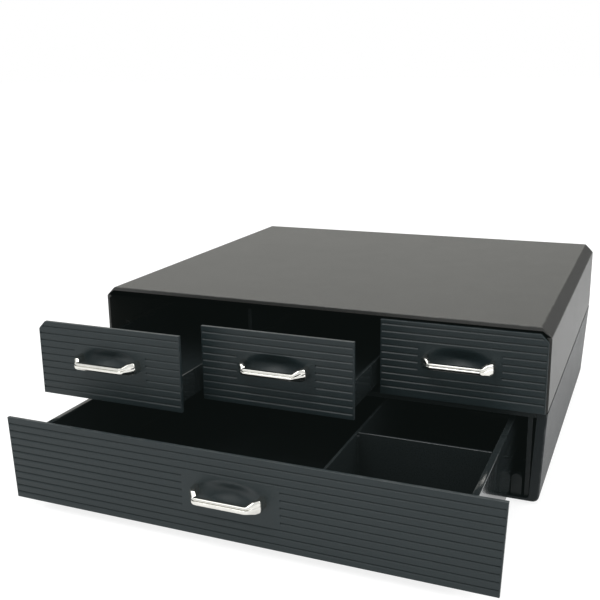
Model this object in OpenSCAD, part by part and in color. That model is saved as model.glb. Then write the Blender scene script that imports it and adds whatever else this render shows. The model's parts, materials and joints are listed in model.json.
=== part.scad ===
// Two-tier coffee pod drawer cabinet: three pod drawers over one wide drawer.
// Millimetres, +Z up, fronts towards -Y, origin under the middle of the outline at floor level.

/* [Cabinet] */
// Width over the sides
cab_w = 380; // [360:2:420]
// Depth from the front rim to the back
cab_d = 332; // [310:2:370]
// Height of the lower tier above its underside
base_h = 72; // [66:1:84]
// Height of the top cover above the seam
cover_h = 66; // [60:1:76]
// Bevel along the cover's long top edges
cover_chamfer = 8; // [5:0.5:10]
// Thickness of the cover's sides
cover_side_t = 2; // [1.6:0.1:2.6]
// Thickness of the cover's top
cover_top_t = 3; // [2:0.5:4]
// Height of the turned-down lip at the cover's front
lip_h = 4.8; // [4:0.2:6]
// Thickness of that lip
lip_t = 2.5; // [1.5:0.5:4]
// Width of the flange at the foot of the cover's sides
flange_w = 10; // [9:0.5:11]
// Thickness of that flange
flange_t = 2; // [1.4:0.2:2.2]

/* [Lower tier] */
// How far each side leans in at its foot
base_lean = 3; // [0.5:0.5:4]
// How far the back leans in at its foot
back_lean = 19; // [4:1:24]
// Wall thickness of the lower tier
base_wall = 2.5; // [1.6:0.1:3]
// Floor thickness of the lower tier
base_floor = 2.5; // [2:0.1:3]
// Radius of its bottom corners
base_corner = 5; // [3.5:0.5:7]
// Width of the front rim
rim_w = 7.5; // [6.5:0.5:8.5]
// Thickness of the front rim
rim_t = 2.5; // [1.5:0.5:3]
// Height of the runner ribs on the floor
floor_rib_h = 3.2; // [2.6:0.1:4]
// Thickness of the inner guide walls
guide_t = 3.5; // [2.5:0.1:4]
// Channel between the lower tray and a guide wall
guide_gap = 10.5; // [9.5:0.5:11]
// Height of the stop posts above the floor
post_h = 17.5; // [12:0.5:20]
// Width of a stop post
post_w = 8; // [6:0.5:8.5]
// Depth of a stop post
post_l = 6; // [5:0.5:8]

/* [Deck and partitions] */
// Thickness of the deck between the tiers
deck_t = 3.8; // [3:0.2:5]
// Height of the runner ribs on the deck
deck_rib_h = 5.2; // [5:0.1:7]
// Width of a runner rib
rib_w = 6; // [4:0.5:8]
// Height of the stop ribs on the deck
stop_rib_h = 3.6; // [3:0.2:4.4]
// Thickness of the partitions
partition_t = 3; // [2:0.2:4]
// Distance of the partitions behind the front rim
partition_setback = 22; // [14:1:30]
// Depth of the partition slots in the deck
slot_depth = 1.5; // [0.8:0.1:2]
// Thickness of the upper back panel
back_t = 2.5; // [1.5:0.1:3]
// Distance of the back panel inside the rear edge
back_inset = 2.5; // [2.2:0.1:5]
// Height of the keeper ribs over the tray edges
keeper_h = 2; // [1.4:0.2:3]

/* [Drawer fronts] */
// Thickness of the fronts
front_t = 3; // [2.6:0.1:4]
// Width of the middle bay, seam to seam
middle_w = 124; // [110:1:136]
// Gap between neighbouring fronts
seam = 0.7; // [0.5:0.1:1.5]
// Cabinet side left showing beside the upper fronts
side_reveal = 1.6; // [1:0.2:2.2]
// Cover edge left showing above the upper fronts
top_reveal = 4.5; // [3:0.5:6]
// Gap from the tier seam up to the upper fronts
upper_rise = 0.7; // [0.5:0.1:2]
// Cabinet side left showing beside the lower front
lower_reveal = 3.8; // [2:0.2:6]
// Gap from the tier seam down to the lower front
lower_drop = 2.2; // [1:0.2:5]
// Gap from the underside up to the lower front
lower_rise = 4.8; // [3:0.2:5.4]
// Bevelled outer top corner of the side fronts
front_chamfer = 6; // [3:0.5:8]
// Spacing of the horizontal grooves
groove_pitch = 5.5; // [4:0.5:8]
// Width of a groove
groove_w = 1.6; // [0.8:0.1:2.2]
// Depth of a groove
groove_d = 0.8; // [0.3:0.1:1.2]
// Plain edge beside the grooves
groove_margin = 2; // [1:0.5:5]
// Width of the smooth patch on an upper front
upper_patch_w = 64; // [60:1:80]
// Width of the smooth patch on the lower front
lower_patch_w = 75; // [60:1:100]
// Depth of the finger dish
dish_d = 7; // [5:0.5:8]
// Shell thickness of the finger dish
dish_t = 1.4; // [1:0.1:1.6]

/* [Trays] */
// Wall thickness of the trays
tray_wall = 2.2; // [1.6:0.1:2.6]
// Floor thickness of the trays
tray_floor = 2; // [1.5:0.1:3]
// Corner radius of the trays
tray_r = 3; // [2.8:0.1:6]
// Height of the upper trays
upper_tray_h = 21.5; // [19:0.5:26]
// Distance of an upper tray inside the ends of its front
tray_inset = 3; // [2.8:0.1:4]
// Distance of the lower tray inside the cabinet's sides
tray_side_room = 24.7; // [24:0.1:34]
// How far the lower tray stays below its front's top edge
lower_tray_drop = 8.3; // [7:0.1:14]
// Width of the lower tray's turned-in top lip
tray_lip_w = 4.6; // [3.5:0.1:7]
// Thickness of that lip
tray_lip_t = 2; // [1.5:0.1:3]
// Thickness of the dividers in the lower tray
divider_t = 2; // [1.5:0.1:3]
// Distance of the cross divider behind the closed drawer's front
cross_y = 82; // [60:1:140]
// Room behind the upper trays
upper_rear = 26; // [20:1:40]
// Room behind the lower tray at floor level
lower_rear = 20; // [16:1:40]

/* [Pulls] */
// Half length of a pull at its front
pull_half = 21.5; // [19:0.5:22]
// Half length of a pull at its root
pull_root = 27.5; // [26:0.5:28]
// Length of the straight roots
pull_knee = 6.5; // [4:0.5:7]
// How far a pull stands out
pull_out = 16.5; // [14:0.5:22]
// Height of a pull's bar
bar_h = 5; // [4:0.5:7]
// Thickness of a pull's bar
bar_t = 4; // [3:0.5:5]
// Thickness of a pull's arms
arm_t = 4; // [3.6:0.1:4.6]
// How far the arms rise at the root
arm_up = 2.2; // [0.5:0.1:3]
// How far the arms drop at the root
arm_down = 1.4; // [1:0.1:5]
// How far a pull lies above the middle of its front
pull_rise = 1.6; // [0:0.1:2.5]
// How far an outer pull lies towards the cabinet's middle
pull_in = 1.3; // [0:0.1:2]

/* [Travel] */
// Travel of the upper drawers from closed to the stop
upper_travel = 225; // [180:5:240]
// Travel of the lower drawer from closed to the stop
lower_travel = 225; // [180:5:235]
// How far the left drawer stands open
left_open = 91.5; // [0:0.5:180]
// How far the middle drawer stands open
middle_open = 59.5; // [0:0.5:180]
// How far the right drawer stands open
right_open = 0; // [0:0.5:180]
// How far the lower drawer stands open
lower_open = 138.5; // [0:0.5:180]

/* [Feet and fasteners] */
// Height of the rubber feet
foot_h = 2; // [1.5:0.5:6]
// Diameter of the rubber feet
foot_dia = 14; // [10:1:20]
// Distance of the feet inside the cabinet's edges
foot_in = 26; // [20:1:40]
// Diameter of the case screws
case_screw = 3; // [2.5:0.1:3.2]
// Diameter of the front, pull and back screws
small_screw = 2.2; // [2:0.1:2.4]
// Height of the screw heads
head_h = 1.6; // [1.2:0.1:1.8]

/* [Hidden] */
$fn = 32;

// clearances
front_gap = 0.3;     // closed front to the rim
slide_gap = 0.3;     // tray to its runner ribs
keeper_gap = 0.4;    // tray edge to its keeper rib
side_gap = 0.5;      // ear to guide wall
stop_gap = 0.3;      // stop faces at full travel
fit_gap = 0.3;       // panels in their seats
slot_gap = 0.15;     // dividers and partitions in their slots
thread_gap = 0.02;   // screw, peg or stem in its bore
hole_gap = 0.2;      // screw in a clearance hole
eps = 0.5;           // overrun of cuts

// overall
half_w = cab_w / 2;
lower_tray_half = half_w - tray_side_room;
top_z = base_h + cover_h;
open_by = [left_open, middle_open, right_open, lower_open];
reach = front_gap + front_t + pull_out + max(open_by);
rim_y = (reach - cab_d) / 2;      // front rim plane in the part's frame
panel_y = cab_d - back_inset - back_t;
corner_steps = 6;

// bays: 0 left, 1 middle, 2 right, 3 lower
edge_x = half_w - side_reveal;
seam_x = middle_w / 2;
front_lo = [-edge_x, seam / 2 - seam_x, seam_x + seam / 2, lower_reveal - half_w];
front_hi = [-seam_x - seam / 2, seam_x - seam / 2, edge_x, half_w - lower_reveal];
front_bottom = [for (i = [0:3]) i < 3 ? base_h + upper_rise : lower_rise];
front_top = [for (i = [0:3]) i < 3 ? top_z - top_reveal : base_h - lower_drop];
patch_w = [for (i = [0:3]) i < 3 ? upper_patch_w : lower_patch_w];
travel = [for (i = [0:3]) i < 3 ? upper_travel : lower_travel];
upper_tray_z = base_h + deck_rib_h + slide_gap;
lower_tray_z = base_floor + floor_rib_h + slide_gap;
tray_lo = [for (i = [0:3]) i < 3 ? front_lo[i] + tray_inset : -lower_tray_half];
tray_hi = [for (i = [0:3]) i < 3 ? front_hi[i] - tray_inset : lower_tray_half];
tray_z = [for (i = [0:3]) i < 3 ? upper_tray_z : lower_tray_z];
tray_top = [for (i = [0:3]) i < 3 ? upper_tray_z + upper_tray_h : base_h - lower_drop - lower_tray_drop];
tray_end = [for (i = [0:3]) i < 3 ? panel_y - upper_rear : cab_d - back_lean - base_wall - lower_rear];

function mid_x(i) = (front_lo[i] + front_hi[i]) / 2;
function mid_z(i) = (front_bottom[i] + front_top[i]) / 2;
function pull_x(i) = mid_x(i) + (i == 0 ? pull_in : i == 2 ? -pull_in : 0);
function pull_z(i) = mid_z(i) + pull_rise;
function front_h(i) = front_top[i] - front_bottom[i];
function bands(i) = max(3, round(front_h(i) / groove_pitch));
function band_h(i) = front_h(i) / bands(i);
function patch_h(i) = band_h(i) * (bands(i) % 2 == 0 ? 5 : 4);
function dish_up(i) = band_h(i) * 2.5 - 1;
function lean_at(z, lean) = lean * (1 - z / base_h);

// keeper ribs, stops and lugs
keeper_z = upper_tray_z + upper_tray_h + keeper_gap;
keeper_over = tray_wall * 0.7;
keeper_back = 14;
keeper_end = panel_y - keeper_back;
stop_rib_y = 8;
stop_rib_l = 3;
stop_rib_w = 24;
lug_w = 20;
lug_l = 4;
lug_clear = 0.9;
lug_y = stop_rib_y + stop_rib_l + stop_gap + upper_travel;

// lower drawer guides
guide_x = lower_tray_half + guide_gap;
guide_y0 = rim_t + fit_gap;
guide_back = 8;
guide_y1 = cab_d - back_lean - base_wall - guide_back;
guide_keeper_in = 30;
guide_top = base_h - deck_t;
post_x = lower_tray_half + keeper_gap + post_w / 2;
post_y = rim_t + fit_gap;
peg_r = 2;
ear_l = 12;
ear_rise = 2;
ear_z = lower_tray_z + ear_rise;
ear_h = 9;
ear_y = post_y + post_l + stop_gap + lower_travel;
floor_rib_x = 110;
floor_rib_w = 8;
floor_rib_y = 14;

// pulls and finger dishes
dish_low = 5;                   // dish below the front's middle
dish_side = 7;                  // height of its widest line
dish_half = 19.5;               // half width at the bottom
dish_wide = 22;                 // half width at the widest line
dish_top = 17;                  // half width at the top
pull_screw_x = pull_root - arm_t / 2;
pull_screw_z = (arm_up - arm_down) / 2;
pull_screw_in = pull_knee - 0.5;
window_half = pull_screw_x + small_screw + 1.4;
window_low = dish_low + dish_t + 1.2;

// screws and feet
case_x = guide_x + guide_t + 3.2;
case_in = 30;
case_y = [case_in, cab_d / 2, guide_y1 - case_in / 2];
case_boss_r = case_screw / 2 + 1.9;
case_boss_l = 14;
back_x = half_w - cover_side_t - 3.4;
back_pts = [[back_x, base_h + 14], [half_w - cover_chamfer - 6, top_z - cover_top_t - 3.4]];
back_boss_r = 3.6;
back_boss_l = 12;
tray_boss_r = 3.2;
tray_screw_in = 15;
tray_screw_up = 13;
foot_stem_r = 2.5;
foot_y = [foot_in, cab_d - back_lean - foot_in];

// ---- helpers -------------------------------------------------------------
module in_cabinet() translate([0, rim_y, foot_h]) children();
module in_drawer(i) in_cabinet() translate([0, -open_by[i], 0]) children();
module along_y(y0, y1) translate([0, y1, 0]) rotate([90, 0, 0]) linear_extrude(y1 - y0) children();
module along_x(x0, x1) translate([x0, 0, 0]) rotate([90, 0, 90]) linear_extrude(x1 - x0) children();
module both_sides() {
    children();
    mirror([1, 0, 0]) children();
}
module box(lo, hi) translate(lo) cube(hi - lo);
module bar_y(x, z, r, y0, y1) translate([x, y1, z]) rotate([90, 0, 0]) cylinder(r = r, h = y1 - y0);

module round_rect(x0, x1, y0, y1, r) {
    translate([x0 + r, y0]) square([x1 - x0 - 2 * r, y1 - y0]);
    translate([x0, y0 + r]) square([x1 - x0, y1 - y0 - 2 * r]);
    for (x = [x0 + r, x1 - r], y = [y0 + r, y1 - r]) translate([x, y]) circle(r = r);
}

// cover section at a side inset, a top inset and a bevel inset
function cover_half(side, top, bevel, low) = [
    [half_w - side, low],
    [half_w - side, cover_h - cover_chamfer - bevel * sqrt(2) + side],
    [half_w - cover_chamfer - bevel * sqrt(2) + top, cover_h - top]];
function mirrored(pts) = [for (k = [len(pts) - 1:-1:0]) [-pts[k][0], pts[k][1]]];
module cover_section(side, top, bevel, low = 0) {
    half = cover_half(side, top, bevel, low);
    translate([0, base_h]) polygon(concat(half, mirrored(half)));
}

// leaning wall above a rounded bottom corner: points from the corner up to height z1
function corner_pts(x_top, lean, low, r, z1) =
    let (m = lean / base_h, a = atan(m), x0 = x_top - lean,
         zc = low + r, xc = x0 + m * zc - r * sqrt(1 + m * m))
    concat([for (k = [0:corner_steps]) let (t = -90 + k / corner_steps * (90 - a))
            [xc + r * cos(t), zc + r * sin(t)]],
        [[x0 + m * z1, z1]]);
module side_section(inset, low, r, z1) {
    half = corner_pts(half_w - inset, base_lean, low, r, z1);
    polygon(concat(half, mirrored(half)));
}
module back_section(y0, inset, low, r, z1)
    polygon(concat([[y0, z1], [y0, low]], corner_pts(cab_d - inset, back_lean, low, r, z1)));

// ---- cabinet -------------------------------------------------------------
module top_cover() color([0.2, 0.2, 0.19]) in_cabinet() {
    difference() {
        along_y(0, cab_d) cover_section(0, 0, 0);
        along_y(lip_t, cab_d + eps) cover_section(cover_side_t, cover_top_t, cover_side_t, -eps);
        along_y(-eps, cab_d) cover_section(cover_side_t, lip_h, lip_h * 0.65, -eps);
    }
    both_sides() {
        difference() {
            box([half_w - cover_side_t - flange_w, lip_t + eps, base_h],
                [half_w - cover_side_t + eps, panel_y - fit_gap, base_h + flange_t]);
            for (y = case_y) translate([case_x, y, base_h - eps])
                cylinder(r = case_screw / 2 + hole_gap, h = flange_t + 2 * eps);
        }
        box([edge_x - tray_inset - keeper_over, partition_setback, keeper_z],
            [half_w - cover_side_t + eps, keeper_end, keeper_z + keeper_h]);
        for (p = back_pts) difference() {
            bar_y(p[0], p[1], back_boss_r, panel_y - back_boss_l, panel_y);
            bar_y(p[0], p[1], small_screw / 2 + thread_gap, panel_y - back_boss_l + 2, panel_y + eps);
        }
    }
}

module upper_back_panel() color([0.13, 0.13, 0.13]) in_cabinet() difference() {
    along_y(panel_y, panel_y + back_t)
        cover_section(cover_side_t + fit_gap, cover_top_t + fit_gap, cover_side_t + fit_gap);
    both_sides() for (p = back_pts)
        bar_y(p[0], p[1], small_screw / 2 + hole_gap, panel_y - eps, panel_y + back_t + eps);
}

module upper_deck() color([0.12, 0.13, 0.13]) in_cabinet() {
    z0 = base_h - deck_t;
    deck_half = half_w - lean_at(z0, base_lean) - base_wall - fit_gap;
    mouth_half = half_w - lean_at(z0, base_lean) - rim_w - fit_gap;
    deck_end = cab_d - lean_at(z0, back_lean) - base_wall - 2 * fit_gap;
    difference() {
        union() {
            box([-mouth_half, 0, z0], [mouth_half, rim_t + 2 * eps, base_h]);
            box([-deck_half, rim_t + fit_gap, z0], [deck_half, deck_end, base_h]);
        }
        both_sides() {
            for (y = case_y) translate([case_x, y, z0 - eps])
                cylinder(r = case_screw / 2 + hole_gap, h = deck_t + 2 * eps);
            box([seam_x - partition_t / 2 - slot_gap, partition_setback - slot_gap, base_h - slot_depth],
                [seam_x + partition_t / 2 + slot_gap, panel_y, base_h + eps]);
        }
    }
    for (i = [0:2]) {
        for (x = [tray_lo[i] + 12, tray_hi[i] - 12])
            box([x - rib_w / 2, lip_t, base_h - eps], [x + rib_w / 2, tray_end[i], base_h + deck_rib_h]);
        x = (tray_lo[i] + tray_hi[i]) / 2;
        box([x - stop_rib_w / 2, stop_rib_y, base_h - eps],
            [x + stop_rib_w / 2, stop_rib_y + stop_rib_l, base_h + stop_rib_h]);
    }
}

module partition_wall() {
    top = top_z - cover_top_t - slot_gap;
    end = panel_y - fit_gap;
    box([seam_x - partition_t / 2, partition_setback, base_h - slot_depth + slot_gap / 2],
        [seam_x + partition_t / 2, end, top]);
    over = seam / 2 + tray_inset + keeper_over;
    box([seam_x - over, partition_setback, keeper_z], [seam_x + over, keeper_end, keeper_z + keeper_h]);
}
module left_partition() color([0.12, 0.13, 0.13]) in_cabinet() mirror([1, 0, 0]) partition_wall();
module right_partition() color([0.12, 0.13, 0.13]) in_cabinet() partition_wall();

module lower_base() color([0.16, 0.17, 0.17]) in_cabinet() {
    inner_r = max(1, base_corner - base_wall);
    difference() {
        intersection() {
            along_y(0, cab_d) side_section(0, 0, base_corner, base_h);
            along_x(-half_w, half_w) back_section(0, 0, 0, base_corner, base_h);
        }
        intersection() {
            along_y(rim_t, cab_d) side_section(base_wall, base_floor, inner_r, base_h + eps);
            along_x(-half_w, half_w) back_section(rim_t, base_wall, base_floor, inner_r, base_h + eps);
        }
        along_y(-eps, rim_t + eps) side_section(rim_w, base_floor, inner_r, base_h + eps);
        for (x = [-1, 1] * (half_w - base_lean - foot_in), y = foot_y) translate([x, y, -eps])
            cylinder(r = foot_stem_r, h = base_floor + 2 * eps);
        for (x = [-1, 1] * post_x) translate([x, post_y + post_l / 2, -eps])
            cylinder(r = peg_r, h = base_floor + 2 * eps);
    }
    both_sides() box([floor_rib_x - floor_rib_w / 2, floor_rib_y, base_floor - eps],
        [floor_rib_x + floor_rib_w / 2, tray_end[3], base_floor + floor_rib_h]);
}

module guide_wall() {
    difference() {
        union() {
            box([guide_x, guide_y0, base_floor], [guide_x + guide_t, guide_y1, guide_top]);
            for (y = case_y) translate([case_x, y, guide_top - case_boss_l])
                cylinder(r = case_boss_r, h = case_boss_l);
        }
        for (y = case_y) translate([case_x, y, guide_top - case_boss_l + 2])
            cylinder(r = case_screw / 2 + thread_gap, h = case_boss_l);
    }
    // keeper over the tray's ear
    box([guide_x - guide_gap * 0.6, guide_y0 + guide_keeper_in, ear_z + ear_h + keeper_gap],
        [guide_x + eps, guide_y1, ear_z + ear_h + keeper_gap + keeper_h]);
}
module left_guide_wall() color([0.14, 0.15, 0.15]) in_cabinet() mirror([1, 0, 0]) guide_wall();
module right_guide_wall() color([0.14, 0.15, 0.15]) in_cabinet() guide_wall();

module stop_post() translate([post_x, 0, 0]) {
    along_y(post_y, post_y + post_l) {
        translate([-post_w / 2, base_floor]) square([post_w, post_h - post_w / 2]);
        translate([0, base_floor + post_h - post_w / 2]) circle(r = post_w / 2);
    }
    translate([0, post_y + post_l / 2, base_floor * 0.2])
        cylinder(r = peg_r - thread_gap, h = base_floor);
}
module left_stop_post() color([0.3, 0.31, 0.31]) in_cabinet() mirror([1, 0, 0]) stop_post();
module right_stop_post() color([0.3, 0.31, 0.31]) in_cabinet() stop_post();

module rubber_feet() color([0.08, 0.08, 0.08])
    translate([0, rim_y, 0]) for (x = [-1, 1] * (half_w - base_lean - foot_in), y = foot_y)
        translate([x, y, 0]) {
            cylinder(r = foot_dia / 2, h = foot_h);
            cylinder(r = foot_stem_r - thread_gap, h = foot_h + base_floor);
        }

module case_screws() color([0.6, 0.6, 0.62]) in_cabinet() both_sides() for (y = case_y)
    translate([case_x, y, 0]) {
        translate([0, 0, base_h + flange_t]) cylinder(r = case_screw, h = head_h);
        translate([0, 0, guide_top - case_boss_l + 4])
            cylinder(r = case_screw / 2, h = base_h + flange_t + eps - guide_top + case_boss_l - 4);
    }

module back_screws() color([0.6, 0.6, 0.62]) in_cabinet() both_sides() for (p = back_pts) {
    bar_y(p[0], p[1], small_screw * 1.2, panel_y + back_t, panel_y + back_t + head_h);
    bar_y(p[0], p[1], small_screw / 2, panel_y - back_boss_l + 3, panel_y + back_t + eps);
}

// ---- drawers -------------------------------------------------------------
// tray screws sit low on an upper front and in four corners of the lower one
function tray_screws(i) = [for (x = [tray_lo[i] + tray_screw_in, tray_hi[i] - tray_screw_in],
    z = i < 3 ? [(tray_z[i] + tray_top[i]) / 2] : [tray_z[i] + tray_screw_up, tray_top[i] - tray_screw_up])
    [x, z]];

module front_outline(i) {
    lo = front_lo[i];
    hi = front_hi[i];
    z0 = front_bottom[i];
    z1 = front_top[i];
    c_lo = i == 0 ? front_chamfer : 0;
    c_hi = i == 2 ? front_chamfer : 0;
    tuck = i == 3 ? lean_at(z0, base_lean) : 0;
    polygon(concat([[lo + tuck, z0], [hi - tuck, z0]],
        c_hi > 0 ? [[hi, z1 - c_hi], [hi - c_hi, z1]] : [[hi, z1]],
        c_lo > 0 ? [[lo + c_lo, z1], [lo, z1 - c_lo]] : [[lo, z1]]));
}

// finger dish about the front's middle, from its rim at y = 0 back to its bottom
module dish_slice(half_low, half_wide, half_top, low, side, top, y, t) translate([0, y + t, 0])
    rotate([90, 0, 0]) linear_extrude(t) polygon([[-half_low, -low], [half_low, -low],
        [half_wide, side], [half_top, top], [-half_top, top], [-half_wide, side]]);
module dish(i, grow, y0) {
    top = dish_up(i);
    hull() {
        dish_slice(dish_half + grow, dish_wide + grow, dish_top + grow,
            dish_low + grow, dish_side + grow, top + grow, y0, 0.1);
        dish_slice(dish_half - 5 + grow, dish_wide - 6 + grow, dish_top - 4 + grow,
            dish_low - 2.5 + grow, dish_side - 4 + grow, top - 6 + grow, dish_d - 0.1 + grow, 0.1);
    }
}

module groove(i, k) {
    z = front_bottom[i] + k * band_h(i);
    along_x(front_lo[i] + groove_margin + (i == 3 ? lean_at(z, base_lean) : 0),
        front_hi[i] - groove_margin - (i == 3 ? lean_at(z, base_lean) : 0))
        polygon([[-eps, z - groove_w / 2], [0, z - groove_w / 2], [groove_d, z - groove_w / 4],
            [groove_d, z + groove_w / 4], [0, z + groove_w / 2], [-eps, z + groove_w / 2]]);
}

module drawer_front(i) in_drawer(i) translate([0, -front_gap - front_t, 0]) difference() {
    union() {
        along_y(0, front_t) front_outline(i);
        translate([pull_x(i), 0, mid_z(i)]) dish(i, dish_t, front_t / 2);
        for (p = tray_screws(i))
            bar_y(p[0], p[1], tray_boss_r, front_t - eps, front_t + tray_wall - hole_gap);
    }
    translate([pull_x(i), 0, mid_z(i)]) {
        dish(i, 0, 0);
        dish_slice(dish_half, dish_wide, dish_top, dish_low, dish_side, dish_up(i), -eps, eps + 0.05);
        for (x = [-1, 1] * pull_screw_x)
            bar_y(x, pull_rise + pull_screw_z, small_screw / 2 + hole_gap, -eps, front_t + eps);
    }
    difference() {
        for (k = [1:bands(i) - 1]) groove(i, k);
        translate([pull_x(i), 0, mid_z(i)])
            cube([patch_w[i], 4, patch_h(i)], center = true);
    }
    for (p = tray_screws(i))
        bar_y(p[0], p[1], small_screw / 2 + thread_gap, 1, front_t + tray_wall + eps);
}

module tray_shell(i) {
    difference() {
        translate([0, 0, tray_z[i]]) linear_extrude(tray_top[i] - tray_z[i])
            round_rect(tray_lo[i], tray_hi[i], -front_gap, tray_end[i], tray_r);
        translate([0, 0, tray_z[i] + tray_floor]) linear_extrude(tray_top[i])
            round_rect(tray_lo[i] + tray_wall, tray_hi[i] - tray_wall,
                tray_wall - front_gap, tray_end[i] - tray_wall, tray_r - tray_wall);
        // room for the dish and the pull's screws
        box([pull_x(i) - window_half, -front_gap - eps, mid_z(i) - window_low],
            [pull_x(i) + window_half, tray_wall + eps,
                i < 3 ? tray_top[i] + eps : mid_z(i) + dish_up(i) + 2 * dish_t]);
        for (p = tray_screws(i))
            bar_y(p[0], p[1], tray_boss_r + hole_gap, -front_gap - eps, tray_wall + eps);
    }
}

module upper_tray(i) in_drawer(i) {
    tray_shell(i);
    x = (tray_lo[i] + tray_hi[i]) / 2;
    box([x - lug_w / 2, lug_y, base_h + lug_clear], [x + lug_w / 2, lug_y + lug_l, tray_z[i] + eps]);
}

module lower_tray() color([0.1, 0.11, 0.11]) in_drawer(3) {
    top = tray_top[3];
    tray_shell(3);
    // turned-in lip
    translate([0, 0, top - tray_lip_t]) linear_extrude(tray_lip_t) difference() {
        round_rect(tray_lo[3], tray_hi[3], -front_gap, tray_end[3], tray_r);
        round_rect(tray_lo[3] + tray_lip_w, tray_hi[3] - tray_lip_w,
            tray_lip_w - front_gap, tray_end[3] - tray_lip_w, 1);
    }
    // ears that run under the keepers and meet the stop posts
    both_sides() box([lower_tray_half - eps, ear_y, ear_z],
        [guide_x - side_gap, ear_y + ear_l, ear_z + ear_h]);
    // slots for the dividers
    z0 = tray_z[3] + tray_floor - eps;
    z1 = top - tray_lip_t;
    for (s = [-1, 1]) {
        x = seam_x + s * (divider_t / 2 + slot_gap + 0.75);
        box([x - 0.75, tray_wall - front_gap - eps, z0], [x + 0.75, tray_lip_w, z1]);
        box([x - 0.75, tray_end[3] - tray_lip_w, z0], [x + 0.75, tray_end[3] - tray_wall + eps, z1]);
        y = cross_y + s * (divider_t / 2 + slot_gap + 0.75);
        box([tray_hi[3] - tray_lip_w, y - 0.75, z0], [tray_hi[3] - tray_wall + eps, y + 0.75, z1]);
    }
}

// dividers stand on the tray's floor, notched under its lip
module long_divider() color([0.11, 0.12, 0.12]) in_drawer(3) {
    z0 = tray_z[3] + tray_floor;
    z1 = tray_top[3];
    y0 = tray_wall - front_gap + slot_gap;
    y1 = tray_end[3] - tray_wall - slot_gap;
    notch_y = tray_lip_w - tray_wall + slot_gap;
    notch_z = tray_lip_t + slot_gap;
    along_x(seam_x - divider_t / 2, seam_x + divider_t / 2)
        polygon([[y0, z0], [y1, z0], [y1, z1 - notch_z], [y1 - notch_y, z1 - notch_z], [y1 - notch_y, z1],
            [y0 + notch_y, z1], [y0 + notch_y, z1 - notch_z], [y0, z1 - notch_z]]);
    // slot ribs for the cross divider
    for (s = [-1, 1]) {
        y = cross_y + s * (divider_t / 2 + slot_gap + 0.75);
        box([seam_x, y - 0.75, z0], [seam_x + divider_t / 2 + 1.6, y + 0.75, z1 - 2]);
    }
}

module cross_divider() color([0.11, 0.12, 0.12]) in_drawer(3) {
    z0 = tray_z[3] + tray_floor;
    z1 = tray_top[3];
    x0 = seam_x + divider_t / 2 + slot_gap;
    x1 = tray_hi[3] - tray_wall - slot_gap;
    notch_x = tray_lip_w - tray_wall + slot_gap;
    notch_z = tray_lip_t + slot_gap;
    along_y(cross_y - divider_t / 2, cross_y + divider_t / 2)
        polygon([[x0, z0], [x1, z0], [x1, z1 - notch_z], [x1 - notch_x, z1 - notch_z],
            [x1 - notch_x, z1], [x0, z1]]);
}

// pull: plan and side profile crossed, with the screw bores in its roots
module pull(i) color([0.85, 0.85, 0.86])
    in_drawer(i) translate([pull_x(i), -front_gap - front_t, pull_z(i)]) difference() {
        c = 1.5;
        intersection() {
            translate([0, 0, -bar_h - arm_down]) linear_extrude(2 * bar_h + arm_down + arm_up)
                polygon([[-pull_root, 0], [-pull_root, -pull_knee], [-pull_half, c - pull_out],
                    [c - pull_half, -pull_out], [pull_half - c, -pull_out], [pull_half, c - pull_out],
                    [pull_root, -pull_knee], [pull_root, 0], [pull_root - arm_t, 0],
                    [pull_root - arm_t, -pull_knee], [pull_half - arm_t, bar_t - pull_out],
                    [arm_t - pull_half, bar_t - pull_out], [arm_t - pull_root, -pull_knee],
                    [arm_t - pull_root, 0]]);
            along_x(-pull_root, pull_root)
                polygon([[-pull_out, -bar_h / 2], [bar_t - pull_out, -bar_h / 2],
                    [-pull_knee, -bar_h / 2 - arm_down], [0, -bar_h / 2 - arm_down],
                    [0, bar_h / 2 + arm_up], [-pull_knee, bar_h / 2 + arm_up],
                    [bar_t - pull_out, bar_h / 2], [-pull_out, bar_h / 2]]);
        }
        for (x = [-1, 1] * pull_screw_x)
            bar_y(x, pull_screw_z, small_screw / 2 + thread_gap, -pull_screw_in, eps);
    }

module pull_screws(i) color([0.6, 0.6, 0.62])
    in_drawer(i) translate([pull_x(i), -front_gap - front_t, pull_z(i)]) for (x = [-1, 1] * pull_screw_x) {
        bar_y(x, pull_screw_z, small_screw / 2, 1 - pull_screw_in, front_t + eps);
        bar_y(x, pull_screw_z, small_screw * 0.85, front_t, front_t + head_h);
    }

module tray_screws_of(i) color([0.6, 0.6, 0.62])
    in_drawer(i) translate([0, -front_gap - front_t, 0]) for (p = tray_screws(i)) {
        bar_y(p[0], p[1], small_screw / 2, 1.3, front_t + tray_wall + eps);
        bar_y(p[0], p[1], tray_boss_r + 1.2, front_t + tray_wall, front_t + tray_wall + head_h);
    }

module left_front() color([0.24, 0.26, 0.27]) drawer_front(0);
module left_tray() color([0.1, 0.11, 0.11]) upper_tray(0);
module left_pull() pull(0);
module left_pull_screws() pull_screws(0);
module left_tray_screws() tray_screws_of(0);
module middle_front() color([0.22, 0.23, 0.23]) drawer_front(1);
module middle_tray() color([0.1, 0.11, 0.11]) upper_tray(1);
module middle_pull() pull(1);
module middle_pull_screws() pull_screws(1);
module middle_tray_screws() tray_screws_of(1);
module right_front() color([0.18, 0.2, 0.21]) drawer_front(2);
module right_tray() color([0.1, 0.11, 0.11]) upper_tray(2);
module right_pull() pull(2);
module right_pull_screws() pull_screws(2);
module right_tray_screws() tray_screws_of(2);
module lower_front() color([0.25, 0.27, 0.28]) drawer_front(3);
module lower_pull() pull(3);
module lower_pull_screws() pull_screws(3);
module lower_tray_screws() tray_screws_of(3);

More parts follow.
